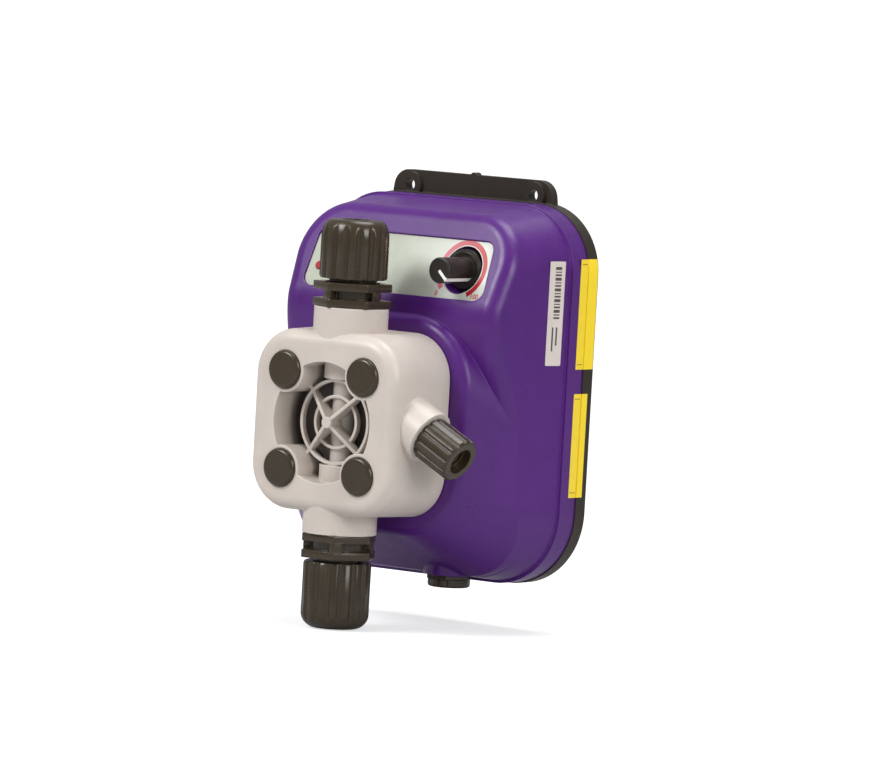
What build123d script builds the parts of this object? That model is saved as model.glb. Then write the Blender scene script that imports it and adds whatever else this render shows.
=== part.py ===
"""Wall-mounted solenoid diaphragm metering pump with a plastic liquid end.

Frame: millimetres, X to the right seen from the front, Y into the wall, Z up.
The wall plane is Y = 0, X = 0 is the middle and Z = 0 is the height of the diaphragm.
Distances called depth are measured forward from the wall, along -Y.
"""
from build123d import *
from math import cos, radians, sin, sqrt
import os

os.makedirs("parts", exist_ok=True)

# ---- driving dimensions -------------------------------------------------------------
# casing outline, seen from the front
case_half_width = 68.6
case_top = 98.5
case_bottom = -70.5
top_corner = 30.0
bottom_corner = 34.0
rim_depth = 7.0          # rear casing, wall to parting line
band_depth = 18.0        # flat band of the front housing ends here
wall = 3.0               # moulded wall thickness

# hood: how fast its sides, top and bottom lean in with depth
hood_step = 1.4
hood_reach = 54.0
side_lean = 0.20
top_lean = 0.15
bottom_lean = 0.14

# sloping control panel
knob_height = 68.8       # the knob stands at the panel's mid height
panel_tilt = 21.9
panel_centre_depth = 54.15
panel_centre_height = knob_height
panel_length = 27.6
panel_bottom_half = case_half_width - 18.6
panel_top_half = case_half_width - 20.5
panel_thick = 1.0
panel_sunk = 0.8
brow_depth = panel_centre_depth + 4.85

# pad that carries the pump head
pad_depth = 66.0
pad_half = 48.0
pad_corner = 30.0

# pump head
head_back = 66.5
head_front = 104.0
head_half_front = 39.4
head_half_back = 40.4
head_corner = 20.0
head_edge = 5.5
bolt_pitch = 43.0
recess_radius = 26.5
recess_floor = 84.0
valve_depth = 87.0
spigot_radius = 16.3
discharge_spigot_end = 50.3
suction_spigot_end = 48.8
channel_radius = 3.0

# valves and hose fittings, heights measured out from Z = 0 along each valve axis
pocket_radius = 9.5
pocket_bottom = 27.0
collar_height = 10.8
collar_corner = 17.4
neck_radius = 10.48      # G1/2 thread, shown as its crest
neck_to_nut_end = 12.3
nut_radius = 14.9
nut_clearance = 1.6      # shows the neck between collar and nut
discharge_nut_end = 88.5
suction_nut_end = 90.4
hose_bore = 6.2
nut_lip = 5.6
thread_gap = 0.32
socket_radius = 7.0
bore_radius = 3.2
seat_bore = 3.0
seat_height = 3.2
ring_section = 0.9
ball_radius = 4.0
ball_lift = 1.6
ball_gap = 0.05
chamber_radius = 5.2

# bleed fitting, leaning down to the right; lengths along its own axis
bleed_tilt = 27.0
bleed_root_height = 21.0
bleed_spigot_radius = 12.0
bleed_pocket = 38.0
bleed_pocket_radius = 6.5
bleed_spigot_end = 52.4
bleed_nut_end = 71.9
bleed_nut_radius = 10.0
bleed_neck_radius = 7.4
bleed_bore = 6.0
bleed_lip = 3.4

# diaphragm, adapter and solenoid, on the diaphragm axis; places are depths
opening_radius = 36.5
diaphragm_radius = 26.0
diaphragm_thick = 2.5
chamber_wide = 18.0
adapter_back = 61.5
flange_back = 57.5
flange_radius = 36.0
can_radius = 28.0
can_back = 19.0
can_wall = 3.0
pole_radius = 11.0
pole_back = 44.0
armature_radius = 9.4
armature_front = 42.0
armature_back = 24.6
slide_fit = 0.05
rod_radius = 3.0

# adjusting knob on a level shaft, sunk in a round well
knob_x = case_half_width - 34.2
skirt_front = panel_centre_depth - 0.75
knob_front = skirt_front + 17.6
skirt_radius = 9.2
grip_radius = 5.7
index_angle = -45.0
well_radius = 10.4
well_floor = panel_centre_depth - 6.65
shaft_radius = 3.0

# circuit board behind the panel, with the potentiometer that reaches up to the well
pot_width = 16.0
pot_body = 7.0
pot_bush = 2.2
board_thick = 1.6
board_front = well_floor - 0.3 - pot_bush - pot_body
board_back = board_front - board_thick
board_half = case_half_width - 21.6
board_bottom = 34.5
board_top = case_top - 14.5
post_radius = 3.2

# wall flange and case screws
flange_thick = 4.0
flange_top = case_top + 9.7
hole_half_pitch = 34.2
hole_height = case_top + 3.0
wall_hole = 2.75
screw_boss_length = 30.0
screw_radius = 1.95

# cable gland under the housing
gland_x = 19.3
gland_depth = 31.0
gland_seat = case_bottom + 3.3
gland_thread = 8.0

valve_axis = Axis((0, -valve_depth, 0), (0, 0, 1))
pump_axis = Axis((0, 0, 0), (0, -1, 0))
panel_plane = Plane(
    origin=(0, -panel_centre_depth, panel_centre_height),
    x_dir=(1, 0, 0),
    z_dir=(0, -cos(radians(panel_tilt)), sin(radians(panel_tilt))),
)
up_valve = Plane(origin=(0, -valve_depth, 0), x_dir=(1, 0, 0), z_dir=(0, 0, 1))
down_valve = Plane(origin=(0, -valve_depth, 0), x_dir=(1, 0, 0), z_dir=(0, 0, -1))
bleed_way = (cos(radians(bleed_tilt)), 0, -sin(radians(bleed_tilt)))
bleed_plane = Plane(origin=(0, -valve_depth, bleed_root_height), x_dir=(0, -1, 0), z_dir=bleed_way)


upper_screw_x = case_half_width - 14.6
lower_screw_x = case_half_width - 16.6
case_screw_places = [
    (upper_screw_x, case_top - 19),
    (-upper_screw_x, case_top - 19),
    (lower_screw_x, case_bottom + 19),
    (-lower_screw_x, case_bottom + 19),
]
upper_post_height = board_top - 3.5
post_x = board_half - 3.5
upper_posts = [(knob_x - pot_width / 2 - 14.4, upper_post_height), (-post_x, upper_post_height)]
lower_posts = [(post_x, board_bottom + 4), (-post_x, board_bottom + 4)]
board_screw_places = upper_posts + lower_posts


def keep(piece, name):
    """Name a finished piece and write it to its own file."""
    piece.label = name
    export_step(piece, f"parts/{name}.step")


def outline(half_width, top, bottom, upper, lower):
    """Rounded outline of the casing, drawn flat."""
    with BuildSketch(Plane.XY, mode=Mode.PRIVATE) as face:
        with Locations((0, (top + bottom) / 2)):
            Rectangle(2 * half_width, top - bottom)
        fillet(face.vertices().group_by(Axis.Y)[-1], upper)
        fillet(face.vertices().group_by(Axis.Y)[0], lower)
    return face.sketch


def ring(plane, outer, inner, length):
    """Plain round sleeve standing on a plane."""
    with BuildPart() as sleeve:
        with BuildSketch(plane):
            Circle(outer)
            Circle(inner, mode=Mode.SUBTRACT)
        extrude(amount=length)
    return sleeve.part


def rod(plane, radius, length):
    """Plain round bar standing on a plane."""
    with BuildPart() as bar:
        with BuildSketch(plane):
            Circle(radius)
        extrude(amount=length)
    return bar.part


def front(depth):
    """Plane facing the front at one depth."""
    return Plane.XZ.offset(depth)


# =====================================================================================
# Front housing: band, hood with sloping panel and brow, and the belly behind the head
# =====================================================================================
def hood_shape(inset):
    """Hood from the band forward, leaning in on all four sides."""
    back_half = case_half_width - hood_step - inset
    back_top = case_top - hood_step - inset
    back_bottom = case_bottom + hood_step + inset
    upper = top_corner - hood_step - inset
    lower = bottom_corner - hood_step - inset
    with BuildPart() as hood:
        with BuildSketch(front(band_depth - hood_step)):
            add(outline(back_half, back_top, back_bottom, upper, lower))
        with BuildSketch(front(band_depth - hood_step + hood_reach)):
            add(outline(
                back_half - side_lean * hood_reach,
                back_top - top_lean * hood_reach,
                back_bottom + bottom_lean * hood_reach,
                upper - 6,
                lower - 6,
            ))
        loft(ruled=True)
    return hood.part


def side_profile(inset):
    """Side view of the hood: panel slope, round brow, long sweep back to the toe."""
    slope = sin(radians(panel_tilt)) / cos(radians(panel_tilt))
    face_depth = panel_centre_depth + (panel_sunk - inset) / cos(radians(panel_tilt))

    def slope_depth(height):
        return face_depth - (height - panel_centre_height) * slope

    brow_height = panel_centre_height - 13.3
    chin_depth = brow_depth - inset
    toe_depth = brow_depth - 22.0 - inset
    with BuildPart() as profile:
        with BuildSketch(Plane.YZ):
            with BuildLine():
                Polyline(
                    (20, -90),
                    (20, 120),
                    (-slope_depth(120), 120),
                    (-slope_depth(brow_height), brow_height),
                )
                Spline(
                    (-slope_depth(brow_height), brow_height),
                    (-chin_depth, 31.5),
                    (-(chin_depth - 9.4), 8.0),
                    (-(chin_depth - 18.6), -15.0),
                    (-toe_depth, -34.0),
                    tangents=[(-slope, -1), (0, -1)],
                )
                Polyline((-toe_depth, -34.0), (-toe_depth, -90), (20, -90))
            make_face()
        extrude(amount=90, both=True)
    return profile.part


def belly_shape(inset):
    """Belly that spreads from the square pad down and outward to the leaning sides."""
    side = case_half_width - 2.6 - inset
    base = outline(side, 50.0 - inset, case_bottom + 4.0 + inset, 58.0 - inset, 33.0 - inset)
    corner = pad_corner - inset
    with BuildPart() as belly:
        with BuildSketch(front(pad_depth - inset)):
            add(outline(pad_half - inset, pad_half - inset, -pad_half + inset, corner, corner))
        with BuildSketch(front(36)):
            add(base)
        loft(ruled=True)
        if inset == 0:
            fillet(belly.faces().sort_by(Axis.Y)[0].edges(), 5)
        with BuildSketch(front(24)):
            add(base)
        extrude(amount=12)
        add(hood_shape(inset), mode=Mode.INTERSECT)
    return belly.part


def housing_shape(inset, crease):
    """Hood and belly together, with the hood's creases rounded."""
    with BuildPart() as form:
        add(hood_shape(inset))
        add(side_profile(inset), mode=Mode.INTERSECT)
        nose_edges = form.edges().filter_by(
            lambda e: e.center().Y < -34 + inset
            and (abs(e.center().X) > 50 or e.center().Z > 80 or e.center().Z < -56)
        )
        if crease > 0:
            fillet(nose_edges, crease)
        add(belly_shape(inset))
    return form.part


def case_outline(inset):
    """Casing outline set in evenly by a wall or a clearance."""
    return outline(
        case_half_width - inset,
        case_top - inset,
        case_bottom + inset,
        top_corner - inset,
        bottom_corner - inset,
    )


def case_ring(depth, length, outer_inset, inner_inset):
    """Frame that follows the casing outline."""
    with BuildPart() as frame:
        with BuildSketch(front(depth)):
            add(case_outline(outer_inset))
            add(case_outline(inner_inset), mode=Mode.SUBTRACT)
        extrude(amount=length)
    return frame.part


with BuildPart() as hollow:
    # everything inside the wall, running out through the open back
    with BuildSketch(front(rim_depth - 0.5)):
        add(case_outline(0.5 + wall))
    extrude(amount=band_depth - rim_depth - 0.2)
    add(housing_shape(wall, 0))

# the upper posts end in the wall behind the sloping panel
panel_slope = sin(radians(panel_tilt)) / cos(radians(panel_tilt))
upper_post_rise = (upper_post_height - panel_centre_height) * panel_slope
upper_post_end = panel_centre_depth - upper_post_rise - 1.65

with BuildPart() as front_housing:
    # flat band at the parting line, hood and belly in front of it
    with BuildSketch(front(rim_depth)):
        add(case_outline(0.5))
    extrude(amount=band_depth - rim_depth)
    add(housing_shape(0, 7.5))
    add(hollow.part, mode=Mode.SUBTRACT)
    # screw bosses in the corners, taking the case screws from behind
    with BuildSketch(front(rim_depth + 5)):
        with Locations(*case_screw_places):
            Circle(5)
    extrude(amount=screw_boss_length - rim_depth - 5)
    with BuildSketch(front(rim_depth + 5)):
        with Locations(*case_screw_places):
            Circle(screw_radius + slide_fit)
    extrude(amount=15, mode=Mode.SUBTRACT)
    # posts for the circuit board
    with BuildSketch(front(board_front)):
        with Locations(*upper_posts):
            Circle(post_radius)
    extrude(amount=upper_post_end - board_front)
    with BuildSketch(front(board_front)):
        with Locations(*lower_posts):
            Circle(post_radius)
    extrude(amount=brow_depth - 1 - board_front)
    with BuildSketch(front(board_front)):
        with Locations(*board_screw_places):
            Circle(1.45)
    extrude(amount=8, mode=Mode.SUBTRACT)
    # round well for the knob, then the sunk bed for the panel trims its mouth
    with BuildSketch(front(well_floor - 2)):
        with Locations((knob_x, knob_height)):
            Circle(well_radius + 2)
    extrude(amount=15)
    with BuildSketch(front(well_floor)):
        with Locations((knob_x, knob_height)):
            Circle(well_radius)
    extrude(amount=20, mode=Mode.SUBTRACT)
    with BuildSketch(front(well_floor - 3)):
        with Locations((knob_x, knob_height)):
            Circle(shaft_radius + 0.4)
    extrude(amount=5, mode=Mode.SUBTRACT)
    # round opening in the pad for the head adapter
    with BuildSketch(front(pad_depth - wall - 4)):
        Circle(opening_radius)
    extrude(amount=wall + 6, mode=Mode.SUBTRACT)
    # flat seat and hole for the cable gland
    with BuildSketch(Plane.XY.offset(gland_seat)):
        with Locations((gland_x, -gland_depth)):
            Circle(11.5)
    extrude(amount=7.7)
    with BuildSketch(Plane.XY.offset(gland_seat)):
        with Locations((gland_x, -gland_depth)):
            Circle(11.5)
    extrude(amount=-5, mode=Mode.SUBTRACT)
    with BuildSketch(Plane.XY.offset(gland_seat)):
        with Locations((gland_x, -gland_depth)):
            Circle(gland_thread + 0.2)
    extrude(amount=9, mode=Mode.SUBTRACT)


def panel_sheet(base, grow, thickness):
    """Round-cornered trapezium on the panel slope."""
    half = panel_length / 2 + grow
    with BuildPart() as sheet:
        with BuildSketch(base):
            with BuildLine():
                Polyline(
                    (-panel_bottom_half - grow, -half),
                    (panel_bottom_half + grow, -half),
                    (panel_top_half + grow, half),
                    (-panel_top_half - grow, half),
                    close=True,
                )
            make_face()
        extrude(amount=thickness)
        fillet(sheet.edges().filter_by(Axis((0, 0, 0), base.z_dir)), 5 + grow)
    return sheet.part


led_plane = Plane(
    origin=panel_plane.from_local_coords((6.5 - panel_bottom_half, -4.1, 0)),
    x_dir=(1, 0, 0),
    z_dir=panel_plane.z_dir,
)
with BuildPart(mode=Mode.PRIVATE) as panel_bed:
    add(panel_sheet(panel_plane.offset(-panel_thick), 0.15, panel_thick + 16))
with BuildPart() as sunk_housing:
    add(front_housing.part)
    add(panel_bed.part, mode=Mode.SUBTRACT)
    add(rod(led_plane.offset(-8), 2.1, 10), mode=Mode.SUBTRACT)
keep(sunk_housing.part, "front_housing")


# =====================================================================================
# Rear casing with its wall flange, gasket and case screws
# =====================================================================================
with BuildPart() as rear_casing:
    # back plate, its flange running up past the casing to the two wall holes
    with BuildSketch(front(0)):
        add(case_outline(0))
        with BuildLine():
            Polyline(
                (-47, case_top - 18.5),
                (47, case_top - 18.5),
                (43, flange_top),
                (-43, flange_top),
                close=True,
            )
        make_face()
    extrude(amount=flange_thick)
    level_edges = rear_casing.edges().filter_by(Axis.Y)
    fillet(level_edges.filter_by(lambda e: e.center().Z > flange_top - 1), 8)
    # raised rings round the wall holes and a pip in the middle of the top edge
    with BuildSketch(front(flange_thick)):
        with Locations((-hole_half_pitch, hole_height), (hole_half_pitch, hole_height)):
            Circle(6)
    extrude(amount=1.4)
    with BuildSketch(front(0)):
        with Locations((0, flange_top - 0.6)):
            Circle(1.6)
    extrude(amount=flange_thick)
    # rim round the edge with the tongue that guides the housing
    add(case_ring(flange_thick, rim_depth - flange_thick, 0, 5.0))
    add(case_ring(rim_depth, 2.5, 0.5 + wall + 0.3, 5.0))
    add(case_ring(rim_depth - 1.2, 1.2, 1.2, 2.6), mode=Mode.SUBTRACT)
    # screw pillars, counterbored from the wall side
    with BuildSketch(front(0)):
        with Locations(*case_screw_places):
            Circle(6.5)
    extrude(amount=rim_depth + 4.9)
    with BuildSketch(front(0)):
        with Locations(*case_screw_places):
            Circle(4.2)
    extrude(amount=5, mode=Mode.SUBTRACT)
    with BuildSketch(front(0)):
        with Locations(*case_screw_places):
            Circle(2.2)
        with Locations((-hole_half_pitch, hole_height), (hole_half_pitch, hole_height)):
            Circle(wall_hole)
    extrude(amount=rim_depth + 6, mode=Mode.SUBTRACT)
keep(rear_casing.part, "rear_casing")

# soft frame in the groove of the rim
keep(case_ring(rim_depth - 1.2, 1.2, 1.25, 2.55), "housing_gasket")

with BuildPart() as case_screws:
    with BuildSketch(front(1.6)):
        with Locations(*case_screw_places):
            Circle(3.9)
    extrude(amount=3.4)
    with BuildSketch(front(5)):
        with Locations(*case_screw_places):
            Circle(screw_radius)
    extrude(amount=20)
    with BuildSketch(front(1.6)):
        with Locations(*case_screw_places):
            Rectangle(4.6, 1.0)
            Rectangle(1.0, 4.6)
    extrude(amount=1.6, mode=Mode.SUBTRACT)
keep(case_screws.part, "case_screws")

# =====================================================================================
# Control panel, lamp, circuit board and the knob on its potentiometer
# =====================================================================================
with BuildPart() as control_panel:
    add(panel_sheet(panel_plane.offset(-panel_thick), 0, panel_thick))
    with BuildSketch(front(well_floor)):
        with Locations((knob_x, knob_height)):
            Circle(well_radius)
    extrude(amount=20, mode=Mode.SUBTRACT)
    add(rod(led_plane.offset(-4), 2.1, 8), mode=Mode.SUBTRACT)
keep(control_panel.part, "control_panel")

with BuildPart() as status_lamp:
    add(rod(led_plane.offset(-6), 2.0, 6.9))
    fillet(status_lamp.faces().sort_by(Axis.Y)[0].edges(), 0.8)
    add(rod(led_plane.offset(-7), 2.6, 1.6))
keep(status_lamp.part, "status_lamp")

with BuildPart() as circuit_board:
    with BuildSketch(front(board_back)):
        with Locations((0, (board_bottom + board_top) / 2)):
            Rectangle(2 * board_half, board_top - board_bottom)
        with Locations(*board_screw_places):
            Circle(1.6, mode=Mode.SUBTRACT)
    extrude(amount=board_front - board_back)
keep(circuit_board.part, "circuit_board")

with BuildPart() as board_screws:
    with BuildSketch(front(board_back)):
        with Locations(*board_screw_places):
            Circle(2.6)
    extrude(amount=-2)
    with BuildSketch(front(board_back)):
        with Locations(*board_screw_places):
            Circle(1.4)
    extrude(amount=8)
keep(board_screws.part, "board_screws")

with BuildPart() as potentiometer:
    with BuildSketch(front(board_front)):
        with Locations((knob_x, knob_height)):
            Rectangle(pot_width, pot_width)
    extrude(amount=pot_body)
    fillet(potentiometer.edges().filter_by(Axis.Y), 1.5)
    with BuildSketch(front(board_front + pot_body)):
        with Locations((knob_x, knob_height)):
            Circle(shaft_radius + 0.3)
    extrude(amount=pot_bush)
    with BuildSketch(front(board_front + 0.6)):
        with Locations((knob_x, knob_height)):
            Circle(shaft_radius + slide_fit)
    extrude(amount=10, mode=Mode.SUBTRACT)
keep(potentiometer.part, "potentiometer")

with BuildPart() as pot_shaft:
    with BuildSketch(front(board_front + 1)):
        with Locations((knob_x, knob_height)):
            Circle(shaft_radius)
    extrude(amount=18)
    # flat that drives the knob
    with BuildSketch(front(well_floor + 2)):
        with Locations((knob_x, knob_height + shaft_radius)):
            Rectangle(6, 1.4)
    extrude(amount=10, mode=Mode.SUBTRACT)
keep(pot_shaft.part, "pot_shaft")

index_way = Plane(
    origin=(knob_x, -skirt_front, knob_height),
    x_dir=(cos(radians(index_angle)), 0, sin(radians(index_angle))),
    z_dir=(0, -1, 0),
)
with BuildPart() as adjust_knob:
    # skirt, then the slimmer grip
    with BuildSketch(front(well_floor + 0.8)):
        with Locations((knob_x, knob_height)):
            Circle(skirt_radius)
    extrude(amount=skirt_front - well_floor - 0.8)
    chamfer(adjust_knob.faces().sort_by(Axis.Y)[0].edges(), 1.2)
    with BuildSketch(front(skirt_front)):
        with Locations((knob_x, knob_height)):
            Circle(grip_radius)
    extrude(amount=knob_front - skirt_front)
    fillet(adjust_knob.faces().sort_by(Axis.Y)[0].edges(), 0.7)
    # shallow channel for the white pointer, down the side and across the front
    with BuildSketch(index_way):
        with Locations((grip_radius + 1, 0)):
            Rectangle(3.0, 1.5)
    extrude(amount=20, mode=Mode.SUBTRACT)
    with BuildSketch(index_way.offset(knob_front - skirt_front - 0.5)):
        with Locations((grip_radius / 2, 0)):
            Rectangle(grip_radius + 1, 1.5)
    extrude(amount=2, mode=Mode.SUBTRACT)
    # bore with the flat of the shaft
    with BuildSketch(front(well_floor)):
        with Locations((knob_x, knob_height)):
            Circle(shaft_radius + slide_fit)
        with Locations((knob_x, knob_height + shaft_radius + slide_fit)):
            Rectangle(6, 1.4, mode=Mode.SUBTRACT)
    extrude(amount=board_front + 19.6 - well_floor, mode=Mode.SUBTRACT)
    with BuildSketch(front(well_floor)):
        with Locations((knob_x, knob_height)):
            Circle(shaft_radius + slide_fit)
    extrude(amount=2.5, mode=Mode.SUBTRACT)
keep(adjust_knob.part, "adjust_knob")

can_places = [(19 - board_half, board_bottom + 12.5), (32 - board_half, board_bottom + 12.5)]
with BuildPart() as board_capacitors:
    # two upright cans and a smaller one on the back of the board
    with BuildSketch(front(board_back)):
        with Locations(*can_places):
            Circle(5)
        with Locations((9 - board_half, board_bottom + 25.5)):
            Circle(3.2)
    extrude(amount=-15)
    fillet(board_capacitors.faces().sort_by(Axis.Y)[-1].edges(), 0.8)
keep(board_capacitors.part, "board_capacitors")

block_x = board_half - 25
with BuildPart() as terminal_block:
    with BuildSketch(front(board_back)):
        with Locations((block_x, board_bottom + 9.5)):
            Rectangle(26, 12)
    extrude(amount=-10)
    # wire openings from below, screw openings from behind
    with BuildSketch(Plane.XY.offset(board_bottom + 3.5)):
        with Locations((block_x, 5 - board_back)):
            with GridLocations(6.2, 1, 4, 1):
                Rectangle(4.4, 4.4)
    extrude(amount=7, mode=Mode.SUBTRACT)
    with BuildSketch(front(board_back - 10)):
        with Locations((block_x, board_bottom + 11.5)):
            with GridLocations(6.2, 1, 4, 1):
                Circle(1.7)
    extrude(amount=4, mode=Mode.SUBTRACT)
keep(terminal_block.part, "terminal_block")

# =====================================================================================
# Cable gland in the underside
# =====================================================================================
gland_plane = Plane(origin=(gland_x, -gland_depth, gland_seat), x_dir=(1, 0, 0), z_dir=(0, 0, -1))
with BuildPart() as gland_body:
    add(rod(gland_plane.offset(-11.6), gland_thread, 15.1))
    with BuildSketch(gland_plane):
        RegularPolygon(10.6, 6)
    extrude(amount=1.8)
    chamfer(gland_body.faces().sort_by(Axis.Z)[0].edges(), 0.4)
    add(rod(gland_plane.offset(-12), 5.6, 20), mode=Mode.SUBTRACT)
keep(gland_body.part, "gland_body")

with BuildPart() as gland_locknut:
    with BuildSketch(gland_plane.offset(-11.0)):
        RegularPolygon(10.4, 6)
        Circle(gland_thread + slide_fit, mode=Mode.SUBTRACT)
    extrude(amount=3.2)
keep(gland_locknut.part, "gland_locknut")

keep(ring(gland_plane.offset(-4), 5.55, 3.4, 6.5), "gland_seal")

with BuildPart() as gland_nut:
    with BuildSketch(gland_plane.offset(1.9)):
        Circle(9.4)
    extrude(amount=3.6)
    fillet(gland_nut.faces().sort_by(Axis.Z)[0].edges(), 1.2)
    with BuildSketch(gland_plane.offset(1.9)):
        with PolarLocations(9.9, 12):
            Circle(0.9)
    extrude(amount=3.6, mode=Mode.SUBTRACT)
    add(rod(gland_plane.offset(1.8), gland_thread + slide_fit, 1.8), mode=Mode.SUBTRACT)
    add(rod(gland_plane.offset(1), 3.6, 6), mode=Mode.SUBTRACT)
keep(gland_nut.part, "gland_nut")

# =====================================================================================
# Pump head: one moulding with three spigots, the ribbed recess and the valve channel
# =====================================================================================
bolt_places = [(x * bolt_pitch / 2, z * bolt_pitch / 2) for x in (-1, 1) for z in (-1, 1)]
bolt_boss = 9.9
cap_pocket = 8.6
pocket_floor = 92.0


def passage(start, end, radius):
    """Drilled hole between two points."""
    way = Vector(*end) - Vector(*start)
    with BuildPart() as drill:
        with BuildSketch(Plane(origin=start, z_dir=way)):
            Circle(radius)
        extrude(amount=way.length)
    return drill.part


with BuildPart() as recess:
    # round front recess, cut into by the four bolt bosses
    with BuildSketch(front(recess_floor)):
        Circle(recess_radius)
        with Locations(*bolt_places):
            Circle(bolt_boss, mode=Mode.SUBTRACT)
    extrude(amount=head_front - recess_floor + 1)

with BuildPart() as spoke:
    # one rib right across, rising from the ring to the hub
    with BuildSketch(Plane(origin=(0, 0, 0), x_dir=(1, 0, 1), z_dir=(1, 0, -1))):
        with BuildLine():
            Polyline(
                (-22.5, 94.0),
                (-18.3, 94.7),
                (-1.5, 100.2),
                (1.5, 100.2),
                (18.3, 94.7),
                (22.5, 94.0),
                (22.5, 91.6),
                (-22.5, 91.6),
                close=True,
            )
        make_face()
    extrude(amount=0.75, both=True)

with BuildPart() as pump_head:
    # block with a little draft and a soft front edge
    with BuildSketch(front(head_back)):
        RectangleRounded(2 * head_half_back, 2 * head_half_back, head_corner)
    with BuildSketch(front(head_front)):
        RectangleRounded(2 * head_half_front, 2 * head_half_front, head_corner)
    loft(ruled=True)
    fillet(pump_head.faces().sort_by(Axis.Y)[0].edges(), head_edge)
    # valve spigots above and below, bleed spigot to the right
    add(rod(up_valve.offset(-suction_spigot_end), spigot_radius, suction_spigot_end + discharge_spigot_end))
    add(rod(bleed_plane.offset(34), bleed_spigot_radius, bleed_spigot_end - 34))
    # recess, and the stepped valve column standing in it
    add(recess.part, mode=Mode.SUBTRACT)
    add(rod(up_valve.offset(-pocket_bottom), 6.0, 2 * pocket_bottom))
    add(rod(up_valve.offset(-pocket_bottom - 1), 10.3, pocket_bottom + 1 - 18.9))
    add(rod(up_valve.offset(18.9), 10.3, pocket_bottom + 1 - 18.9))
    # grille: two rings, four rising spokes and a hub
    add(ring(front(92.2), 18.9, 17.6, 2.6))
    add(ring(front(91.4), 11.9, 10.6, 2.6))
    add(spoke.part)
    add(spoke.part.rotate(Axis.Y, 90))
    add(rod(front(92), 2.5, 8.6))
    # valve pockets, bleed pocket and the channels that join them
    add(rod(up_valve.offset(pocket_bottom), pocket_radius, 30), mode=Mode.SUBTRACT)
    add(rod(down_valve.offset(pocket_bottom), pocket_radius, 30), mode=Mode.SUBTRACT)
    add(rod(up_valve.offset(-pocket_bottom - 1), channel_radius, 2 * pocket_bottom + 2), mode=Mode.SUBTRACT)
    add(rod(bleed_plane.offset(bleed_pocket), bleed_pocket_radius, 20), mode=Mode.SUBTRACT)
    bleed_end = (bleed_pocket * bleed_way[0], -valve_depth, bleed_root_height + bleed_pocket * bleed_way[2])
    turn_point = (bleed_end[0], -77.5, bleed_end[2])
    add(passage(bleed_end, turn_point, 1.6), mode=Mode.SUBTRACT)
    add(passage((bleed_end[0] + 1.6, -77.5, bleed_end[2]), (0, -77.5, 0), 1.6), mode=Mode.SUBTRACT)
    # pumping chamber and diaphragm seat in the back
    add(rod(front(head_back), diaphragm_radius + slide_fit, diaphragm_thick), mode=Mode.SUBTRACT)
    with BuildSketch(front(head_back + diaphragm_thick)):
        Circle(chamber_wide)
    extrude(amount=2.4, taper=35, mode=Mode.SUBTRACT)
    add(rod(front(head_back + 4), 2.5, valve_depth - head_back - 4), mode=Mode.SUBTRACT)
    # bolt holes and the pockets for the caps
    with BuildSketch(front(head_back)):
        with Locations(*bolt_places):
            Circle(2.8)
    extrude(amount=40, mode=Mode.SUBTRACT)
    with BuildSketch(front(pocket_floor)):
        with Locations(*bolt_places):
            Circle(cap_pocket)
    extrude(amount=20, mode=Mode.SUBTRACT)
keep(pump_head.part, "pump_head")

with BuildPart() as head_bolts:
    with BuildSketch(front(flange_back + 0.3)):
        with Locations(*bolt_places):
            Circle(2.5)
    extrude(amount=pocket_floor + 1.2 - flange_back - 0.3)
    with BuildSketch(front(pocket_floor + 1.2)):
        with Locations(*bolt_places):
            Circle(4.3)
    extrude(amount=5)
    with BuildSketch(front(pocket_floor + 3.4)):
        with Locations(*bolt_places):
            RegularPolygon(2.3, 6)
    extrude(amount=3, mode=Mode.SUBTRACT)
keep(head_bolts.part, "head_bolts")

with BuildPart() as head_washers:
    with BuildSketch(front(pocket_floor)):
        with Locations(*bolt_places):
            Circle(6.5)
            Circle(2.6, mode=Mode.SUBTRACT)
    extrude(amount=1.2)
keep(head_washers.part, "head_washers")

with BuildPart() as bolt_caps:
    # domed disc on a short skirt that clips into the pocket
    with BuildSketch(front(head_front - 0.6)):
        with Locations(*bolt_places):
            Circle(cap_pocket - 0.1)
    extrude(amount=2.6)
    fillet(bolt_caps.faces().group_by(Axis.Y)[0].edges(), 1.8)
    with BuildSketch(front(head_front - 5)):
        with Locations(*bolt_places):
            Circle(cap_pocket - 0.1)
            Circle(cap_pocket - 1.3, mode=Mode.SUBTRACT)
    extrude(amount=4.4)
keep(bolt_caps.part, "bolt_caps")


# =====================================================================================
# Discharge and suction valves with their hose fittings
# =====================================================================================
def valve_body(axis_plane, start, spigot_end, neck_end, turn, bores):
    """Shank in the head, hex collar with a window in each flat, threaded neck."""
    with BuildPart() as body:
        add(rod(axis_plane.offset(start), pocket_radius - 0.1, spigot_end - start))
        with BuildSketch(axis_plane.offset(spigot_end)):
            RegularPolygon(collar_corner, 6, rotation=turn)
        extrude(amount=collar_height)
        with BuildSketch(axis_plane.offset(spigot_end + 3.4)):
            with PolarLocations(collar_corner * cos(radians(30)), 6, start_angle=turn + 30):
                Rectangle(6.4, 12.4)
        extrude(amount=4.0, mode=Mode.SUBTRACT)
        neck_start = spigot_end + collar_height
        add(rod(axis_plane.offset(neck_start), neck_radius, neck_end - neck_start))
        for low, high, radius in bores:
            add(rod(axis_plane.offset(low), radius, high - low), mode=Mode.SUBTRACT)
    return body.part


def valve_ball(height):
    """Ball on the valve axis at one height."""
    with BuildPart() as ball:
        with Locations((0, -valve_depth, height)):
            Sphere(ball_radius)
    return ball.part


def seat_ring(axis_plane, start, radius):
    """Ring with a conical mouth that the ball rests on."""
    with BuildPart() as seat:
        add(ring(axis_plane.offset(start), radius, seat_bore - 0.3, seat_height))
        mouth = seat.faces().sort_by(Axis.Z)[-1].edges().sort_by(SortBy.LENGTH)[0]
        chamfer(mouth, 0.3)
    return seat.part


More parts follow.
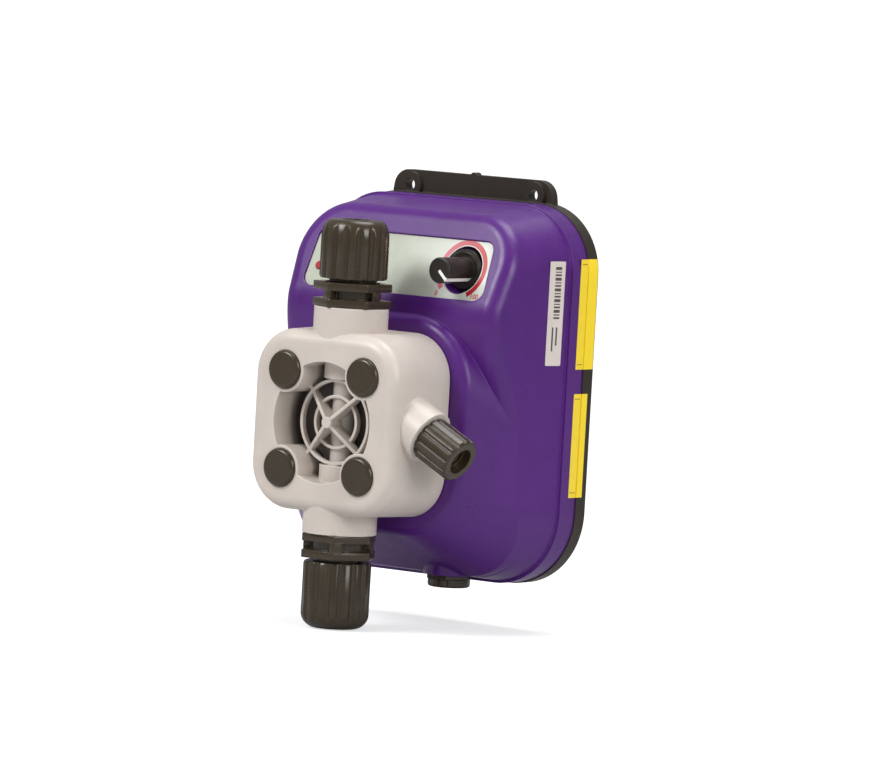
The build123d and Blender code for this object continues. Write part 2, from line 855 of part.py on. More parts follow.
def rubber_ring(place, normal, major, minor):
    """Round-section sealing ring."""
    with BuildPart() as seal:
        with Locations(Location(Plane(origin=place, z_dir=normal))):
            Torus(major, minor)
    return seal.part


def nipple(axis_plane, neck_end, spigot_length):
    """Hose nipple: spigot in the neck, flange on it, tapered tip for the hose."""
    with BuildPart() as tip:
        add(rod(axis_plane.offset(neck_end - spigot_length), socket_radius - 0.1, spigot_length))
        add(rod(axis_plane.offset(neck_end), 9.0, 1.6))
        with BuildSketch(axis_plane.offset(neck_end + 1.6)):
            Circle(4.6)
        extrude(amount=5.0, taper=8)
        add(rod(axis_plane.offset(neck_end - spigot_length), 2.4, spigot_length + 9), mode=Mode.SUBTRACT)
    return tip.part


def hose_nut(axis_plane, collar_end, nut_end, round_end):
    """Fluted union nut, open at the collar, with a hose hole in its far end."""
    start = collar_end + nut_clearance
    with BuildPart() as nut:
        add(rod(axis_plane.offset(start), nut_radius, nut_end - start))
        far_face = nut.faces().sort_by(Axis((0, 0, 0), axis_plane.z_dir))[-1]
        if round_end:
            fillet(far_face.edges(), 6.5)
        else:
            chamfer(far_face.edges(), 3.0, 8.2, reference=far_face)
        with BuildSketch(axis_plane.offset(start)):
            with PolarLocations(nut_radius + 0.45, 16):
                Circle(1.2)
        extrude(amount=nut_end - start, mode=Mode.SUBTRACT)
        thread_depth = nut_end - nut_lip - start
        add(rod(axis_plane.offset(start), neck_radius + thread_gap, thread_depth), mode=Mode.SUBTRACT)
        add(rod(axis_plane.offset(start), hose_bore, nut_end - start), mode=Mode.SUBTRACT)
    return nut.part


def hose_clamp(axis_plane, neck_end, nut_end):
    """Loose ring that the nut presses round the hose."""
    length = nut_end - nut_lip - neck_end - 1.95
    return ring(axis_plane.offset(neck_end + 1.9), neck_radius - 0.2, hose_bore + 0.4, length)


ball_seat_height = sqrt(ball_radius**2 - seat_bore**2) + ball_gap

# discharge: ring, seat and ball stand in the pocket below the body
seat_start = pocket_bottom + 2 * ring_section
body_start = seat_start + seat_height
ball_centre = body_start + ball_seat_height
ceiling = ball_centre + ball_radius + ball_lift + 0.1
neck_end = discharge_nut_end - neck_to_nut_end
collar_end = discharge_spigot_end + collar_height
discharge_bores = [
    (body_start, ceiling, chamber_radius),
    (ceiling - 1, neck_end, bore_radius),
    (neck_end - 5, neck_end, socket_radius),
]
keep(
    valve_body(up_valve, body_start, discharge_spigot_end, neck_end, 30, discharge_bores),
    "discharge_valve_body",
)
keep(seat_ring(up_valve, seat_start, pocket_radius - 0.1), "discharge_seat")
keep(valve_ball(ball_centre), "discharge_ball")
keep(
    rubber_ring((0, -valve_depth, pocket_bottom + ring_section), (0, 0, 1), 8.2, ring_section),
    "discharge_oring",
)
keep(nipple(up_valve, neck_end, 5), "discharge_nipple")
keep(hose_clamp(up_valve, neck_end, discharge_nut_end), "discharge_ferrule")
keep(hose_nut(up_valve, collar_end, discharge_nut_end, False), "discharge_nut")

# suction: the ball sits inside the body, on a seat pushed in from the hose side
body_start = pocket_bottom + 2 * ring_section
ceiling = body_start + 1.6
ball_centre = ceiling + ball_radius + ball_lift + 0.1
seat_start = ball_centre + ball_seat_height
neck_end = suction_nut_end - neck_to_nut_end
collar_end = suction_spigot_end + collar_height
suction_bores = [
    (body_start, ceiling + 1, bore_radius),
    (ceiling, seat_start, chamber_radius),
    (seat_start, neck_end, socket_radius),
]
keep(
    valve_body(down_valve, body_start, suction_spigot_end, neck_end, 0, suction_bores),
    "suction_valve_body",
)
keep(seat_ring(up_valve, -seat_start - seat_height, socket_radius - 0.05), "suction_seat")
keep(valve_ball(-ball_centre), "suction_ball")
keep(
    rubber_ring((0, -valve_depth, -pocket_bottom - ring_section), (0, 0, 1), 8.2, ring_section),
    "suction_oring",
)
keep(nipple(down_valve, neck_end, neck_end - seat_start - seat_height), "suction_nipple")
keep(hose_clamp(down_valve, neck_end, suction_nut_end), "suction_ferrule")
keep(hose_nut(down_valve, collar_end, suction_nut_end, True), "suction_nut")

# =====================================================================================
# Bleed fitting
# =====================================================================================
bleed_neck_end = 62.2
with BuildPart() as bleed_spindle:
    root = bleed_pocket + 2
    add(rod(bleed_plane.offset(root), bleed_pocket_radius - 0.1, bleed_spigot_end - root))
    add(rod(bleed_plane.offset(bleed_spigot_end), bleed_neck_radius, bleed_neck_end - bleed_spigot_end))
    with BuildSketch(bleed_plane.offset(bleed_neck_end)):
        Circle(3.2)
    extrude(amount=6.0, taper=6)
    add(rod(bleed_plane.offset(bleed_pocket), 1.2, 40), mode=Mode.SUBTRACT)
keep(bleed_spindle.part, "bleed_spindle")

bleed_seal_place = bleed_plane.origin + bleed_plane.z_dir * (bleed_pocket + 1)
keep(rubber_ring(bleed_seal_place, bleed_way, 5.2, 1.0), "bleed_oring")

bleed_ceiling = bleed_nut_end - bleed_lip
ferrule_length = bleed_ceiling - bleed_neck_end - 0.25
keep(
    ring(bleed_plane.offset(bleed_neck_end + 0.2), bleed_neck_radius, 4.2, ferrule_length),
    "bleed_ferrule",
)

with BuildPart() as bleed_nut:
    nut_start = bleed_spigot_end + 0.5
    add(rod(bleed_plane.offset(nut_start), bleed_nut_radius, bleed_nut_end - nut_start))
    chamfer(bleed_nut.faces().sort_by(Axis((0, 0, 0), bleed_way))[-1].edges(), 1.0)
    with BuildSketch(bleed_plane.offset(nut_start)):
        with PolarLocations(bleed_nut_radius + 0.35, 14):
            Circle(1.0)
    extrude(amount=20, mode=Mode.SUBTRACT)
    thread_depth = bleed_ceiling - bleed_spigot_end
    add(
        rod(bleed_plane.offset(bleed_spigot_end), bleed_neck_radius + thread_gap, thread_depth),
        mode=Mode.SUBTRACT,
    )
    add(rod(bleed_plane.offset(bleed_spigot_end), bleed_bore, 30), mode=Mode.SUBTRACT)
keep(bleed_nut.part, "bleed_nut")

# =====================================================================================
# Diaphragm, adapter and solenoid
# =====================================================================================
screw_circle = 31.5
with BuildPart() as head_adapter:
    # spigot in the housing opening with a flange behind the wall
    add(rod(front(adapter_back), opening_radius + 3, 1.4))
    add(rod(front(adapter_back), opening_radius - 0.2, head_back - adapter_back))
    add(rod(front(head_back - 2.9), 18.5, 3), mode=Mode.SUBTRACT)
    add(rod(front(adapter_back), 10, 5), mode=Mode.SUBTRACT)
    with BuildSketch(front(adapter_back)):
        with Locations(*bolt_places):
            Circle(2.8)
    extrude(amount=6, mode=Mode.SUBTRACT)
    with BuildSketch(front(adapter_back)):
        with PolarLocations(screw_circle, 4):
            Circle(1.65)
    extrude(amount=3.2, mode=Mode.SUBTRACT)
keep(head_adapter.part, "head_adapter")

with BuildPart() as mounting_flange:
    add(rod(front(flange_back), flange_radius, adapter_back - flange_back))
    add(rod(front(flange_back), pole_radius + slide_fit, 5), mode=Mode.SUBTRACT)
    with BuildSketch(front(flange_back)):
        with Locations(*bolt_places):
            Circle(2.55)
        with PolarLocations(screw_circle, 4):
            Circle(1.65)
    extrude(amount=5, mode=Mode.SUBTRACT)
keep(mounting_flange.part, "mounting_flange")

with BuildPart() as flange_screws:
    with BuildSketch(front(flange_back - 2.2)):
        with PolarLocations(screw_circle, 4):
            Circle(2.8)
    extrude(amount=2.2)
    with BuildSketch(front(flange_back)):
        with PolarLocations(screw_circle, 4):
            Circle(1.6)
    extrude(amount=7)
keep(flange_screws.part, "flange_screws")

with BuildPart() as diaphragm:
    # clamped rim, thinner rolling web and thick centre
    add(rod(front(head_back), diaphragm_radius, diaphragm_thick))
    add(ring(front(head_back), 17.0, 13.5, 0.9), mode=Mode.SUBTRACT)
    add(ring(front(head_back + 1.8), 17.5, 13.0, 0.9), mode=Mode.SUBTRACT)
keep(diaphragm.part, "diaphragm")

with BuildPart() as diaphragm_plate:
    add(rod(front(head_back - 1.9), 13.0, 1.8))
    add(rod(front(head_back - 4.5), 5.5, 3))
    add(rod(front(head_back - 4.5), rod_radius, 2.6), mode=Mode.SUBTRACT)
keep(diaphragm_plate.part, "diaphragm_plate")

keep(rod(front(armature_front - 10), rod_radius, head_back - 1.9 - armature_front + 10), "push_rod")

with BuildPart() as armature:
    add(rod(front(armature_back), armature_radius, armature_front - armature_back))
    chamfer(armature.faces().group_by(Axis.Y)[0].edges(), 0.5)
    add(rod(front(armature_front - 8), 6.4, 8), mode=Mode.SUBTRACT)
    add(rod(front(armature_front - 12), rod_radius, 6), mode=Mode.SUBTRACT)
keep(armature.part, "armature")

spring_length = pole_back - armature_front + 8
coil_height = spring_length - 1.4
with BuildPart() as return_spring:
    with BuildLine():
        coil_line = Helix(pitch=coil_height / 5, height=coil_height, radius=4.9)
    with BuildSketch(Plane(coil_line @ 0, z_dir=coil_line % 0)):
        Circle(0.6)
    sweep(is_frenet=True)
spring_place = Plane(origin=(0, -(armature_front - 8 + 0.7), 0), x_dir=(1, 0, 0), z_dir=(0, -1, 0))
keep(return_spring.part.moved(Location(spring_place)), "return_spring")

with BuildPart() as pole_piece:
    add(rod(front(pole_back), pole_radius, adapter_back - pole_back))
    add(rod(front(pole_back), rod_radius + 0.4, 20), mode=Mode.SUBTRACT)
    add(rod(front(adapter_back - 8), 5.0, 9), mode=Mode.SUBTRACT)
keep(pole_piece.part, "pole_piece")

keep(ring(front(adapter_back - 8), 5.0, rod_radius + slide_fit, 8), "guide_bush_front")
can_floor = can_back + can_wall
keep(
    ring(front(can_floor), pole_radius, armature_radius + slide_fit, pole_back - can_floor),
    "guide_bush_rear",
)
keep(rod(front(can_floor), 8.6, armature_back - can_floor - 0.1), "armature_bumper")

with BuildPart() as coil_bobbin:
    add(rod(front(can_back + can_wall), 24.6, 2.2))
    add(rod(front(flange_back - 2.2), 24.6, 2.2))
    add(rod(front(can_back + can_wall), 12.2, flange_back - can_back - can_wall))
    add(rod(front(can_back), pole_radius + slide_fit, 50), mode=Mode.SUBTRACT)
keep(coil_bobbin.part, "coil_bobbin")

coil_start = can_back + can_wall + 2.2
keep(ring(front(coil_start), 23.8, 12.2, flange_back - 2.2 - coil_start), "coil_winding")

with BuildPart() as magnet_can:
    add(rod(front(can_back), can_radius, flange_back - can_back))
    fillet(magnet_can.faces().sort_by(Axis.Y)[-1].edges(), 1.5)
    add(rod(front(can_back + can_wall), can_radius - can_wall, 50), mode=Mode.SUBTRACT)
keep(magnet_can.part, "magnet_can")
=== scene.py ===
import bmesh
import bpy
from math import atan, atan2, cos, pi, radians, sin, sqrt, tan
from mathutils import Matrix, Quaternion, Vector


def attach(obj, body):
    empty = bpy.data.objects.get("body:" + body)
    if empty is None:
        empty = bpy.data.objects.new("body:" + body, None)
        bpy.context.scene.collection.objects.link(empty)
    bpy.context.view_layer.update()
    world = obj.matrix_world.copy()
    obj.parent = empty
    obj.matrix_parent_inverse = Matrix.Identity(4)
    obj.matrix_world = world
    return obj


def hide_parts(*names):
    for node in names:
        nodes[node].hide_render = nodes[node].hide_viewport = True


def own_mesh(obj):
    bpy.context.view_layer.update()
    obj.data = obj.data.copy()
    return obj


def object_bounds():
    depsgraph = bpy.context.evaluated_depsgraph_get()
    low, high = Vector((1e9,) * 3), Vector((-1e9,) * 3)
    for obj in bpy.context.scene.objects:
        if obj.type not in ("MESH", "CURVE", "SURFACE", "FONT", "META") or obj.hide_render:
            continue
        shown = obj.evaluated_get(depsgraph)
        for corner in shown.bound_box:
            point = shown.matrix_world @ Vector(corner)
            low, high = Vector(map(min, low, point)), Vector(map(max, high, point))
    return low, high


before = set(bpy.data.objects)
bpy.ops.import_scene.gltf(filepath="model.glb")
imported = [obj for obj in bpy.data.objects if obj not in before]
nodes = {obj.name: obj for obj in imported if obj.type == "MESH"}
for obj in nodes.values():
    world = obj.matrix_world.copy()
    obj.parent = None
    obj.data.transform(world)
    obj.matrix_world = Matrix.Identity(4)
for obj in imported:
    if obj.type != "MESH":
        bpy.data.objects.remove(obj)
cad_low, cad_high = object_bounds()

# ---- Rear casing --------------------------------------------------------------------
# Flat black back shell with the wall flange, moulded in glass-filled polypropylene with
# a spark-eroded grain. It carries the pump on two wall screws and closes the housing.


def paint(red, green, blue):
    """A screen colour, 0 to 255, as the shader's linear colour."""
    linear = []
    for level in (red, green, blue):
        share = level / 255
        linear.append(share / 12.92 if share <= 0.04045 else ((share + 0.055) / 1.055) ** 2.4)
    return (*linear, 1.0)


def shade(colour, factor):
    """The same colour, lighter or darker."""
    return (*[min(1.0, c * factor) for c in colour[:3]], 1.0)


def put(tree, kind, inputs=(), **settings):
    """A shader node with its settings, and its inputs as numbers or as other sockets."""
    made = tree.nodes.new(kind)
    for key, value in settings.items():
        setattr(made, key, value)
    for key, value in dict(inputs).items():
        if isinstance(value, bpy.types.NodeSocket):
            tree.links.new(value, made.inputs[key])
        else:
            made.inputs[key].default_value = value
    return made


def noise(tree, place, scale, detail=2, rough=0.5):
    """Cloudy variation over a piece, from 0 to 1."""
    inputs = {"Vector": place, "Scale": scale, "Detail": detail, "Roughness": rough}
    return put(tree, "ShaderNodeTexNoise", inputs).outputs["Fac"]


def work(tree, operation, *values):
    """Arithmetic on the values of a finish."""
    inputs = dict(enumerate(values))
    return put(tree, "ShaderNodeMath", inputs, operation=operation).outputs["Value"]


def spread(tree, value, start, end, low, high):
    """A value between start and end, brought to lie between low and high."""
    inputs = {"Value": value, "From Min": start, "From Max": end, "To Min": low, "To Max": high}
    return put(tree, "ShaderNodeMapRange", inputs).outputs["Result"]


def tones(tree, share, dark, light, start=0.0, end=1.0):
    """A colour between a dark and a light tone."""
    ramp = put(tree, "ShaderNodeValToRGB", {"Fac": share})
    stops = ramp.color_ramp.elements
    stops[0].position, stops[1].position = start, end
    stops[0].color, stops[1].color = dark, light
    return ramp.outputs["Color"]


def laid_over(tree, share, under, over):
    """One colour laid over another by a share."""
    inputs = {0: share, 6: under, 7: over}
    return put(tree, "ShaderNodeMix", inputs, data_type="RGBA").outputs[2]


def start_finish(name, gloss_level=0.5, metal=0.0, coat=0.0):
    """New material with its shader and its place coordinate."""
    finish = bpy.data.materials.new(name)
    finish.use_nodes = True
    tree = finish.node_tree
    shader = tree.nodes["Principled BSDF"]
    shader.inputs["Specular IOR Level"].default_value = gloss_level
    shader.inputs["Metallic"].default_value = metal
    shader.inputs["Coat Weight"].default_value = coat
    place = put(tree, "ShaderNodeTexCoord").outputs["Object"]
    return finish, tree, shader, place


def colour_with(tree, shader, colour):
    """Give the shader its varying colour."""
    tree.links.new(colour, shader.inputs["Base Color"])


def roughen(tree, shader, value, start, end, low, high):
    """Give the shader a roughness that varies between low and high."""
    tree.links.new(spread(tree, value, start, end, low, high), shader.inputs["Roughness"])


def emboss(tree, shader, height, depth, eased=None, strength=1.0):
    """Give the shader its fine relief, over eased edges where they are asked for."""
    inputs = {"Height": height, "Distance": depth, "Strength": strength}
    if eased is not None:
        inputs["Normal"] = eased
    bump = put(tree, "ShaderNodeBump", inputs)
    tree.links.new(bump.outputs["Normal"], shader.inputs["Normal"])


def soft_edge(tree, radius):
    """Surface direction with the edges eased, as every moulded or turned edge is."""
    return put(tree, "ShaderNodeBevel", {"Radius": radius}, samples=6).outputs["Normal"]


def moulding(
    name, colour, rough, grain_size, grain_depth,
    edge=0.0004, uneven=0.08, gloss_level=0.5, dust=0.0,
):
    """Injection-moulded plastic: uneven pigment, mould grain, rubbed corners, some dust."""
    finish, tree, shader, place = start_finish(name, gloss_level)
    cloud = noise(tree, place, 38, 4, 0.6)
    dark, light = shade(colour, 1 - uneven), shade(colour, 1 + uneven)
    pigment = tones(tree, cloud, dark, light, 0.3, 0.7)
    # rubbed corners go slightly lighter, found by comparing eased and true directions
    true = put(tree, "ShaderNodeNewGeometry").outputs["Normal"]
    directions = {0: soft_edge(tree, edge * 1.6), 1: true}
    turn = put(tree, "ShaderNodeVectorMath", directions, operation="DOT_PRODUCT")
    rub = spread(tree, turn.outputs["Value"], 0.98, 0.80, 0.0, 0.35)
    top_colour = laid_over(tree, rub, pigment, shade(colour, 1.9))
    if dust:
        # pale dust settles where the surface faces up
        facing = put(tree, "ShaderNodeSeparateXYZ", {"Vector": true}).outputs["Z"]
        lying = work(tree, "MULTIPLY", facing, noise(tree, place, 260, 3))
        fall = spread(tree, lying, 0.2, 0.75, 0.0, dust)
        top_colour = laid_over(tree, fall, top_colour, paint(205, 200, 198))
    colour_with(tree, shader, top_colour)
    handling = noise(tree, place, 110, 5, 0.65)
    roughen(tree, shader, handling, 0.3, 0.7, rough - 0.06, rough + 0.07)
    flow, grain = noise(tree, place, 22, 1), noise(tree, place, 1 / grain_size)
    relief = work(tree, "MULTIPLY_ADD", flow, 6.0, grain)
    emboss(tree, shader, relief, grain_depth, soft_edge(tree, edge))
    return finish


def reopen(finish):
    """A finish's tree and shader, and the axes of its place, to add something to it."""
    tree = finish.node_tree
    place = put(tree, "ShaderNodeTexCoord").outputs["Object"]
    axes = put(tree, "ShaderNodeSeparateXYZ", {"Vector": place}).outputs
    return tree, tree.nodes["Principled BSDF"], axes


def present(shader, socket):
    """What a shader's socket is fed with at present."""
    return shader.inputs[socket].links[0].from_socket


def dress(finish, *names):
    """Give carried-over CAD pieces their finish."""
    for name in names:
        piece = nodes[name]
        piece.data.materials.clear()
        piece.data.materials.append(finish)


sticker_yellow, sticker_rough = paint(254, 222, 44), 0.3
casing_side, side_margin, casing_front = 0.0686, 0.0026, 0.008
upper_sticker = {"back": 0.0003, "front": 0.0125, "low": 0.0272, "high": 0.0757}
lower_sticker = {"back": 0.0030, "front": 0.0124, "low": -0.0294, "high": 0.0164}

casing_black = moulding(
    "casing_black", paint(42, 35, 25), 0.40, 0.00045, 0.00003,
    uneven=0.12, gloss_level=0.4, dust=0.03,
)
tree, shader, axes = reopen(casing_black)
on_side = work(tree, "GREATER_THAN", axes["X"], casing_side - side_margin)
strips = []
for sticker in (upper_sticker, lower_sticker):
    # the stickers' rear strips lie on the casing's rim
    depth_middle = -(sticker["back"] + casing_front) / 2
    depth_half = (casing_front - sticker["back"]) / 2
    across = work(tree, "COMPARE", axes["Y"], depth_middle, depth_half)
    height_middle = (sticker["low"] + sticker["high"]) / 2
    height_half = (sticker["high"] - sticker["low"]) / 2
    along = work(tree, "COMPARE", axes["Z"], height_middle, height_half)
    strips.append(work(tree, "MULTIPLY", work(tree, "MULTIPLY", across, along), on_side))
stuck = work(tree, "MAXIMUM", *strips)
bare_colour, bare_rough = present(shader, "Base Color"), present(shader, "Roughness")
colour_with(tree, shader, laid_over(tree, stuck, bare_colour, sticker_yellow))
smoothed = put(tree, "ShaderNodeMix", {0: stuck, 2: bare_rough, 3: sticker_rough})
tree.links.new(smoothed.outputs[0], shader.inputs["Roughness"])
dress(casing_black, "rear_casing")

# ---- Case screws and gasket ---------------------------------------------------------
# Four zinc-plated pan screws close the casing from the wall side, against a square-cut
# rubber frame that lies in the groove of the rim.


def metal(name, colour, rough, streak, edge=0.0002, coat=0.0):
    """Turned, drawn or plated metal with fine tool lines and handling marks."""
    finish, tree, shader, place = start_finish(name, metal=1.0, coat=coat)
    stretched = put(tree, "ShaderNodeMapping", {"Vector": place, "Scale": streak})
    lines = noise(tree, stretched.outputs["Vector"], 600, 3)
    cloud = noise(tree, place, 150, 4)
    dark, light = shade(colour, 0.82), shade(colour, 1.08)
    colour_with(tree, shader, tones(tree, cloud, dark, light, 0.3, 0.7))
    roughen(tree, shader, lines, 0.3, 0.7, rough - 0.08, rough + 0.1)
    emboss(tree, shader, lines, 0.00001, soft_edge(tree, edge))
    return finish


zinc_steel = metal("zinc_steel", paint(188, 190, 186), 0.34, (1, 0.2, 1))
seal_rubber = moulding(
    "seal_rubber", paint(38, 37, 36), 0.62, 0.0003, 0.00002, uneven=0.12, gloss_level=0.35
)
dress(zinc_steel, "case_screws")
dress(seal_rubber, "housing_gasket")

# ---- Front housing ------------------------------------------------------------------
# Purple cover moulded in one piece: flat band, leaning hood with the sunk panel bed, and
# the belly that swells out behind the pump head. Fine mould grain, satin, slightly cloudy.
housing_purple = moulding(
    "housing_purple", paint(80, 29, 117), 0.33, 0.0006, 0.000035,
    edge=0.0008, uneven=0.10, gloss_level=0.4, dust=0.02,
)
dress(housing_purple, "front_housing")

# ---- Stickers on the right side -----------------------------------------------------
# Three vinyl stickers: a white one on the leaning side with plain stripes, and two yellow
# ones over the band, whose rear strips carry on across the rim of the casing.
housing_side, housing_back = 0.0681, 0.0071
lean_slope, lean_side, lean_start = 0.20, 0.0672, 0.0166
side_lean = atan(lean_slope)
vinyl_thick, yellow_thick, ink_thick, on_skin = 0.00012, 0.00010, 0.00003, 0.00002


def film(name, colour, rough, edge_dirt=0.06, coat=0.3):
    """Printed vinyl: nearly flat colour, slight waviness and a clear gloss coat."""
    finish, tree, shader, place = start_finish(name, coat=coat)
    shader.inputs["Coat Roughness"].default_value = 0.12
    cloud = noise(tree, place, 190, 4, 0.6)
    colour_with(tree, shader, tones(tree, cloud, shade(colour, 1 - edge_dirt), colour, 0.3, 0.62))
    roughen(tree, shader, cloud, 0.0, 1.0, rough - 0.05, rough + 0.08)
    emboss(tree, shader, noise(tree, place, 70, 1), 0.0001, strength=0.5)
    return finish


def draw_up(mesh, distance):
    """Raise a flat bmesh into a body of the given height."""
    raised = bmesh.ops.extrude_face_region(mesh, geom=mesh.faces[:])
    top = [part for part in raised["geom"] if isinstance(part, bmesh.types.BMVert)]
    bmesh.ops.translate(mesh, vec=(0, 0, distance), verts=top)


def plate(width, height, corner, thick):
    """Thin plate lying flat, its corners rounded where a radius is given, as a bmesh."""
    mesh = bmesh.new()
    bmesh.ops.create_grid(mesh, x_segments=1, y_segments=1, size=0.5)
    bmesh.ops.scale(mesh, vec=(width, height, 1), verts=mesh.verts)
    if corner:
        bmesh.ops.bevel(
            mesh, geom=mesh.verts[:], offset=corner, segments=4, profile=0.5,
            affect="VERTICES", material=-1,
        )
    draw_up(mesh, thick)
    bmesh.ops.recalc_face_normals(mesh, faces=mesh.faces)
    return mesh


def add_object(mesh, name, finish):
    """A bmesh as a named object of the scene, with its finish."""
    data = bpy.data.meshes.new(name)
    mesh.to_mesh(data)
    mesh.free()
    data.materials.append(finish)
    piece = bpy.data.objects.new(name, data)
    bpy.context.scene.collection.objects.link(piece)
    return piece


def fit(mesh, name, finish, body, where=Matrix.Identity(4)):
    """Turn a bmesh into a named piece in its place, riding on its body."""
    bmesh.ops.transform(mesh, matrix=where, verts=mesh.verts)
    piece = add_object(mesh, name, finish)
    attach(piece, body)
    return piece


def gather(meshes):
    """Several bmeshes as one."""
    whole = bmesh.new()
    for part in meshes:
        data = bpy.data.meshes.new("part")
        part.to_mesh(data)
        part.free()
        whole.from_mesh(data)
        bpy.data.meshes.remove(data)
    return whole


def moved(mesh, x, y, z=0.0):
    """The same bmesh, shifted."""
    bmesh.ops.translate(mesh, vec=(x, y, z), verts=mesh.verts)
    return mesh


def side_place(depth, height, leaning):
    """Frame on the right side of the housing: x runs to the back, y up, z outwards."""
    turn = -side_lean if leaning else 0.0
    x = lean_side - lean_slope * (depth - lean_start) if leaning else housing_side
    out = Vector((cos(turn), sin(turn), 0))
    back = Vector((-sin(turn), cos(turn), 0))
    place = Matrix((back, Vector((0, 0, 1)), out)).transposed().to_4x4()
    place.translation = Vector((x, -depth, height)) + out * on_skin
    return place


white_vinyl = film("white_vinyl", paint(221, 212, 203), 0.32)
ink_dark = film("ink_dark", paint(84, 74, 76), 0.42, coat=0.0)
label_depth, label_height = 0.0259, 0.0518
label_width, label_length, label_corner = 0.0090, 0.0458, 0.0006
label_place = side_place(label_depth, label_height, True)
label = plate(label_width, label_length, label_corner, vinyl_thick)
fit(label, "side_label", white_vinyl, "pump_body", label_place)

stripe_reach, stripe_gap, stripe_offset = 0.0036, 0.0007, 0.0006
bar_width, bar_gap = 0.0009, 0.0030
stripes = []
stripe_at = 0.0205
for group in range(5):
    # a plain repeating pattern: thick, thin and middling
    for thick in (0.0013, 0.0005, 0.0008):
        stripe = plate(stripe_reach, thick, 0, ink_thick)
        stripes.append(moved(stripe, stripe_offset, stripe_at - thick / 2))
        stripe_at -= thick + stripe_gap
stripe_at -= bar_gap
for length, bar_offset in ((0.0105, -0.0012), (0.0080, 0.0011)):
    bar = plate(bar_width, length, 0, ink_thick)
    stripes.append(moved(bar, bar_offset, stripe_at - length / 2))
on_label = label_place @ Matrix.Translation((0, 0, vinyl_thick))
fit(gather(stripes), "side_label_stripes", ink_dark, "pump_body", on_label)

yellow_vinyl = film("yellow_vinyl", sticker_yellow, 0.30)
ink_brown = film("ink_brown", paint(150, 122, 40), 0.42, coat=0.0)
rule_share, rule_thick, rule_inset = 0.72, 0.00035, 0.0022
for name, sticker in (("upper_side_sticker", upper_sticker), ("lower_side_sticker", lower_sticker)):
    width = sticker["front"] - housing_back
    length = sticker["high"] - sticker["low"]
    sticker_depth = (sticker["front"] + housing_back) / 2
    where = side_place(sticker_depth, (sticker["low"] + sticker["high"]) / 2, False)
    fit(plate(width, length, 0, yellow_thick), name, yellow_vinyl, "pump_body", where)
    rules = []
    for end in (-1, 1):
        rule = plate(width * rule_share, rule_thick, 0, ink_thick)
        rules.append(moved(rule, 0, end * (length / 2 - rule_inset)))
    on_sticker = where @ Matrix.Translation((0, 0, yellow_thick))
    fit(gather(rules), name + "_rules", ink_brown, "pump_body", on_sticker)

# ---- Control panel with its print and lamp ------------------------------------------
# Reverse-printed polyester film on the sloping face: pale green-grey ground, a red scale
# that deepens clockwise round the knob well, dial figures, and a red lamp at the left.
panel_tilt = radians(21.9)
panel_depth, panel_height = 0.05415, 0.0688
knob_x = 0.0344

panel_film = film("panel_film", paint(184, 189, 172), 0.22, edge_dirt=0.05, coat=0.6)
# painted shade: the ground is painted a darker green grey behind the discharge fitting, where its
# shade falls on the film, and paler towards the knob
tree, shader, axes = reopen(panel_film)
clear_of_painted_shade = spread(tree, axes["X"], -0.004, 0.030, 0.0, 0.75)
painted_shade_ground = present(shader, "Base Color")
# the green grey under the paler ground is painted shade from the discharge fitting
colour_with(tree, shader, laid_over(tree, clear_of_painted_shade, painted_shade_ground, paint(222, 226, 218)))
dress(panel_film, "control_panel")

# the print is drawn upright and sheared onto the slope, so it stays round seen from the front
on_film = 0.00003
slope = tan(panel_tilt)
onto_slope = Matrix((
    (1, 0, 0, 0),
    (0, 1, slope, -panel_depth - panel_height * slope - on_film),
    (0, 0, 1, 0),
    (0, 0, 0, 1),
))

scale_red, tree, shader, place = start_finish("scale_red", coat=0.6)
shader.inputs["Coat Roughness"].default_value = 0.12
shader.inputs["Roughness"].default_value = 0.3
axes = put(tree, "ShaderNodeSeparateXYZ", {"Vector": place}).outputs
from_knob = work(tree, "SUBTRACT", axes["X"], knob_x)
from_middle = work(tree, "SUBTRACT", axes["Z"], panel_height)
angle = work(tree, "ARCTAN2", from_knob, from_middle)
deepen = spread(tree, angle, -1.7, 1.1, 0.0, 1.0)
speckled = work(tree, "MULTIPLY_ADD", noise(tree, place, 900), 0.12, deepen)
colour_with(tree, shader, tones(tree, speckled, paint(216, 112, 132), paint(182, 10, 30)))

# one band from lower left over the top to lower right
scale_inner, scale_outer = 0.0108, 0.0130
scale_start, scale_sweep = radians(225), radians(285)
band = bmesh.new()
ends = [
    band.verts.new((knob_x + r * cos(scale_start), 0, panel_height + r * sin(scale_start)))
    for r in (scale_inner, scale_outer)
]
line = band.edges.new(ends)
bmesh.ops.spin(
    band, geom=[line, *ends], cent=(knob_x, 0, panel_height), axis=(0, 1, 0),
    angle=scale_sweep, steps=72,
)
bmesh.ops.recalc_face_normals(band, faces=band.faces)
for face in band.faces:
    if face.normal.y > 0:
        face.normal_flip()
fit(band, "panel_scale", scale_red, "pump_body", onto_slope)

figure_red = film("figure_red", paint(196, 40, 44), 0.35, coat=0.3)
figure_size = 0.0030


def figure(name, words, x, z):
    """A dial figure, drawn upright, made a mesh and printed on the panel."""
    text = bpy.data.curves.new(name, "FONT")
    text.body = words
    text.size = figure_size
    text.align_x = "CENTER"
    text.align_y = "CENTER"
    text.resolution_u = 3
    text.offset = figure_size * 0.022
    written = bpy.data.objects.new(name + "_text", text)
    bpy.context.scene.collection.objects.link(written)
    bpy.context.view_layer.update()
    flat = bpy.data.meshes.new_from_object(written)
    bpy.data.objects.remove(written)
    mesh = bmesh.new()
    mesh.from_mesh(flat)
    bpy.data.meshes.remove(flat)
    upright = Matrix(((1, 0, 0, x), (0, 0, -1, 0), (0, 1, 0, z), (0, 0, 0, 1)))
    bmesh.ops.transform(mesh, matrix=upright, verts=mesh.verts)
    fit(mesh, name, figure_red, "pump_body", onto_slope)


figure("panel_figure_low", "0", 0.0240, 0.0580)
figure("panel_figure_high", "100", 0.0448, 0.0579)

